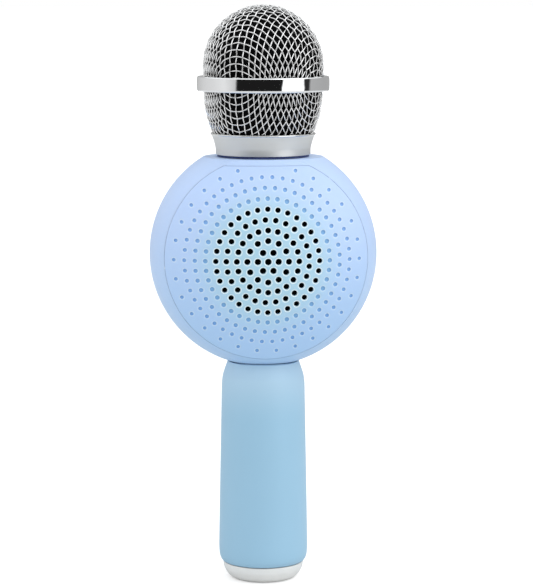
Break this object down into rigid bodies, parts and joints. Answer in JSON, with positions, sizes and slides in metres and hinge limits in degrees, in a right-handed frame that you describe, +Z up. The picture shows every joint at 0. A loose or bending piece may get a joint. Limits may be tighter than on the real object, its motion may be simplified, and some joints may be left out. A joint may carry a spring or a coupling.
{
  "type": "toy microphone",
  "caption": "Toy karaoke microphone: woven-wire head on a screw-on collar, ball-shaped loudspeaker housing with keys on its back, tapering handle and rounded end cap.",
  "frame": {"origin": "centre of the end cap's flat foot, which the microphone stands on", "axes": "+Z up the handle towards the wire head; -Y out of the loudspeaker cover (front); +Y out of the control cover (back); +X to the right when seen from the front"},
  "size_m": [0.095, 0.0699, 0.2417],
  "materials": {
    "chrome": "polished",
    "satin_chrome": "satin",
    "black_foam": "open-cell foam, matt",
    "rubber": "matt",
    "ball_plastic": "fine satin",
    "handle_plastic": "soft matt",
    "white_plastic": "satin",
    "black_plastic": "satin",
    "steel": "plain",
    "ferrite": "matt grey-black, stands in for ferrite",
    "cone_paper": "pressed paper",
    "copper": "enamelled wire",
    "board_green": "glass-fibre board",
    "cell_wrap": "plastic sleeve over a steel can; aluminium gives about the real mass",
    "clear_plastic": "clear",
    "red_lead": "insulated wire"
  },
  "bodies": {
    "main_body": {"audio_jack": "black_plastic", "battery_cable": "red_lead", "battery_cell": "cell_wrap", "battery_sleeve": "black_foam", "board_screw_1": "steel", "board_screw_2": "steel", "board_screw_3": "steel", "capsule_boot": "rubber", "capsule_cable": "black_plastic", "capsule_holder": "black_plastic", "charge_socket": "steel", "cover_scrim": "black_foam", "echo_switch": "black_plastic", "end_cap": "satin_chrome", "front_cover": "ball_plastic", "handle_spigot": "ball_plastic", "handle_tube": "handle_plastic", "housing_front": "ball_plastic", "housing_rear": "ball_plastic", "housing_screw_1": "steel", "housing_screw_2": "steel", "housing_screw_3": "steel", "housing_screw_4": "steel", "lamp_light_pipe": "clear_plastic", "main_board": "board_green", "mic_capsule": "steel", "neck_tube": "ball_plastic", "next_switch": "black_plastic", "power_switch": "black_plastic", "rear_cover": "ball_plastic", "speaker_cable": "black_plastic", "speaker_frame": "steel", "speaker_gasket": "black_foam", "speaker_magnet": "ferrite", "speaker_screw_1": "steel", "speaker_screw_2": "steel", "speaker_screw_3": "steel", "speaker_screw_4": "steel", "speaker_spider": "cone_paper", "speaker_surround": "rubber", "speaker_top_plate": "steel", "speaker_yoke": "steel", "spigot_nut": "white_plastic", "volume_down_switch": "black_plastic", "volume_up_switch": "black_plastic"},
    "lift_ring": {"neck_gasket": "rubber"},
    "head": {"grille_dome": "chrome", "grille_bowl": "chrome", "grille_band": "chrome", "foam_windscreen": "black_foam", "head_collar": "satin_chrome"},
    "cone": {"speaker_cone": "cone_paper", "speaker_dust_cap": "cone_paper", "voice_coil": "copper"},
    "power_button": {"power_button": "white_plastic"},
    "volume_up_button": {"volume_up_button": "white_plastic"},
    "volume_down_button": {"volume_down_button": "white_plastic"},
    "next_button": {"next_button": "white_plastic"},
    "echo_button": {"echo_button": "white_plastic"}
  },
  "joints": [
    {"name": "head_lift", "type": "slide", "parent": "main_body", "child": "lift_ring", "axis": [0, 0, 1], "range_m": [0, 0.0046]},
    {"name": "head_turn", "type": "hinge", "parent": "lift_ring", "child": "head", "pos_m": [0, 0, 0.19], "axis": [0, 0, 1], "range_deg": [0, 1080]},
    {"name": "cone_throw", "type": "slide", "parent": "main_body", "child": "cone", "axis": [0, -1, 0], "range_m": [-0.001, 0.001], "stiffness_N_per_m": 1000, "deforming": ["speaker_surround", "speaker_spider"]},
    {"name": "power_press", "type": "slide", "parent": "main_body", "child": "power_button", "axis": [0, -1, 0], "range_m": [0, 0.0006], "stiffness_N_per_m": 1500},
    {"name": "volume_up_press", "type": "slide", "parent": "main_body", "child": "volume_up_button", "axis": [0, -1, 0], "range_m": [0, 0.0006], "stiffness_N_per_m": 1500},
    {"name": "volume_down_press", "type": "slide", "parent": "main_body", "child": "volume_down_button", "axis": [0, -1, 0], "range_m": [0, 0.0006], "stiffness_N_per_m": 1500},
    {"name": "next_press", "type": "slide", "parent": "main_body", "child": "next_button", "axis": [0, -1, 0], "range_m": [0, 0.0006], "stiffness_N_per_m": 1500},
    {"name": "echo_press", "type": "slide", "parent": "main_body", "child": "echo_button", "axis": [0, -1, 0], "range_m": [0, 0.0006], "stiffness_N_per_m": 1500}
  ],
  "couplings": [
    {"joint": "head_lift", "follows": "head_turn", "m_per_rad": 0.00023873}
  ]
}
